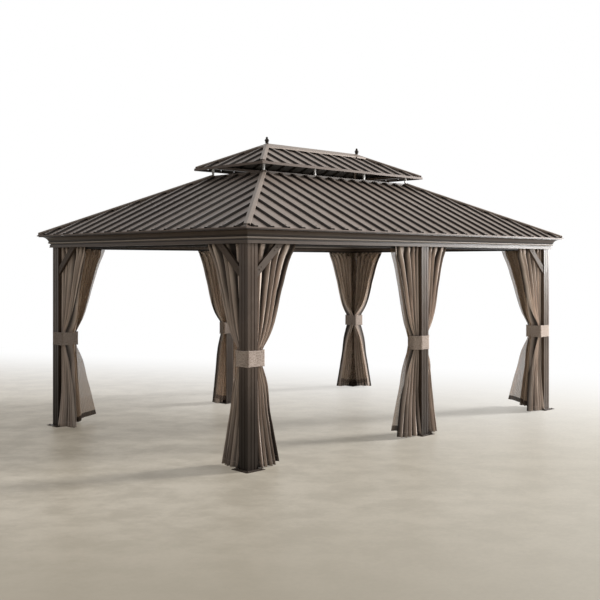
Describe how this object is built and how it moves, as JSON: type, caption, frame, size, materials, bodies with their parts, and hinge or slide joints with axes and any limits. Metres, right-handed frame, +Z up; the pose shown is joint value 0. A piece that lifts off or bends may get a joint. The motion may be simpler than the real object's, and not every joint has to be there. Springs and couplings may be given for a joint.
{
  "type": "metal gazebo",
  "caption": "Open metal gazebo with a ribbed vented hip roof in two tiers, fluted posts, a crown moulding, tied-back curtains and insect nets.",
  "frame": {"origin": "on the ground, under the middle of the roof", "axes": "+X along the long side, +Y along the short side, +Z up"},
  "size_m": [5.45, 3.66, 3.3489],
  "materials": {
    "frame_bronze": "satin powder coat, dark bronze",
    "foot_steel": "satin powder coat, dark bronze",
    "roof_sheet": "satin grey-brown coating",
    "roof_trim": "satin grey-brown coating",
    "curtain_cloth": "matte woven polyester, taupe",
    "net_mesh": "fine open mesh",
    "tie_cloth": "matte woven polyester, taupe"
  },
  "bodies": {
    "root": {"braces": "frame_bronze", "crown_back": "frame_bronze", "crown_front": "frame_bronze", "crown_left": "frame_bronze", "crown_right": "frame_bronze", "curtain_rails": "frame_bronze", "curtains_back_left": "curtain_cloth", "curtains_back_middle": "curtain_cloth", "curtains_back_right": "curtain_cloth", "curtains_front_left": "curtain_cloth", "curtains_front_middle": "curtain_cloth", "curtains_front_right": "curtain_cloth", "eave_trims": "roof_trim", "finials": "roof_trim", "foot_plates": "foot_steel", "hip_caps": "roof_trim", "nets": "net_mesh", "post_back_left": "frame_bronze", "post_back_middle": "frame_bronze", "post_back_right": "frame_bronze", "post_front_left": "frame_bronze", "post_front_middle": "frame_bronze", "post_front_right": "frame_bronze", "rafters": "frame_bronze", "ridge_cap": "roof_trim", "roof_back": "roof_sheet", "roof_front": "roof_sheet", "roof_left": "roof_sheet", "roof_right": "roof_sheet", "tie_bands": "tie_cloth", "upper_frame": "frame_bronze", "upper_roof_back": "roof_sheet", "upper_roof_front": "roof_sheet", "upper_roof_left": "roof_sheet", "upper_roof_right": "roof_sheet", "vent_brackets": "frame_bronze", "vent_ring": "frame_bronze"}
  },
  "joints": []
}
